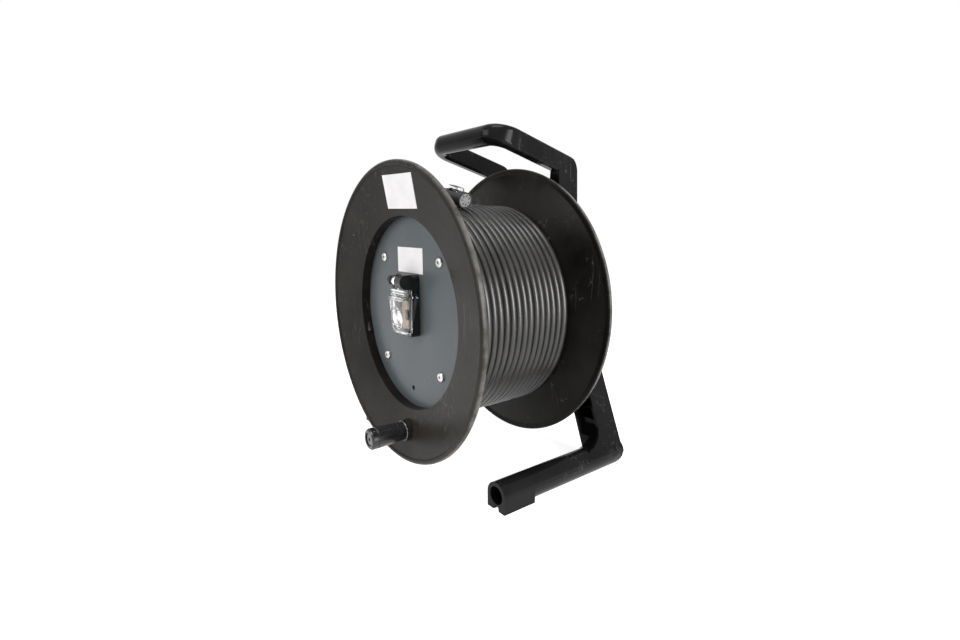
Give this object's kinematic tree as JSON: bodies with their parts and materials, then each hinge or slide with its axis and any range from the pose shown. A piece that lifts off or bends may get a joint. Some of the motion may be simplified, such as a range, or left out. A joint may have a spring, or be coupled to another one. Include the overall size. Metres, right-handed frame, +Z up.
{
  "type": "cable drum",
  "caption": "Portable cable drum: two round moulded flanges with a layer of cable between them, turning on a one-sided frame with a carrying handle and two hollow feet.",
  "frame": {"origin": "on the floor under the centre of the whole drum", "axes": "+Z up, +Y along the drum's axis towards the carrying frame, +X across"},
  "size_m": [0.38, 0.292, 0.4403],
  "materials": {
    "frame_plastic": "glossy black moulding with scuffs",
    "flange_plastic": "semi-gloss brown-black moulding, scratched",
    "plate_paint": "satin blue-grey",
    "steel": "zinc plated",
    "cable_jacket": "satin black jacket",
    "grip_plastic": "semi-gloss black",
    "socket_plastic": "black",
    "insert_plastic": "tan moulding",
    "clear_plastic": "clear moulding",
    "plug_face_plastic": "grey"
  },
  "bodies": {
    "frame": {"frame": "frame_plastic", "axle": "steel", "axle_washer": "steel", "axle_bolt": "steel"},
    "drum": {"front_flange": "flange_plastic", "back_flange": "flange_plastic", "drum_core": "flange_plastic", "connector_plate": "plate_paint", "plate_screw_1": "steel", "plate_screw_2": "steel", "plate_screw_3": "steel", "plate_screw_4": "steel", "cable_winding": "cable_jacket", "crank_pin": "steel", "socket_housing": "socket_plastic", "socket_insert": "insert_plastic", "cover_pin": "steel", "plug_body": "socket_plastic", "plug_insert": "plug_face_plastic", "plug_cap": "clear_plastic", "cable_tail": "cable_jacket"},
    "grip": {"crank_grip": "grip_plastic"},
    "cover": {"socket_cover": "clear_plastic"}
  },
  "joints": [
    {"name": "drum_spin", "type": "hinge", "parent": "frame", "child": "drum", "pos_m": [0, -0.00204, 0.205], "axis": [0, 1, 0], "continuous": true},
    {"name": "grip_spin", "type": "hinge", "parent": "drum", "child": "grip", "pos_m": [0.01447, -0.12066, 0.0547], "axis": [0, 1, 0], "continuous": true},
    {"name": "cover_hinge", "type": "hinge", "parent": "drum", "child": "cover", "pos_m": [0.0018, -0.09109, 0.248], "axis": [-1, 0, 0], "range_deg": [0, 110]}
  ]
}
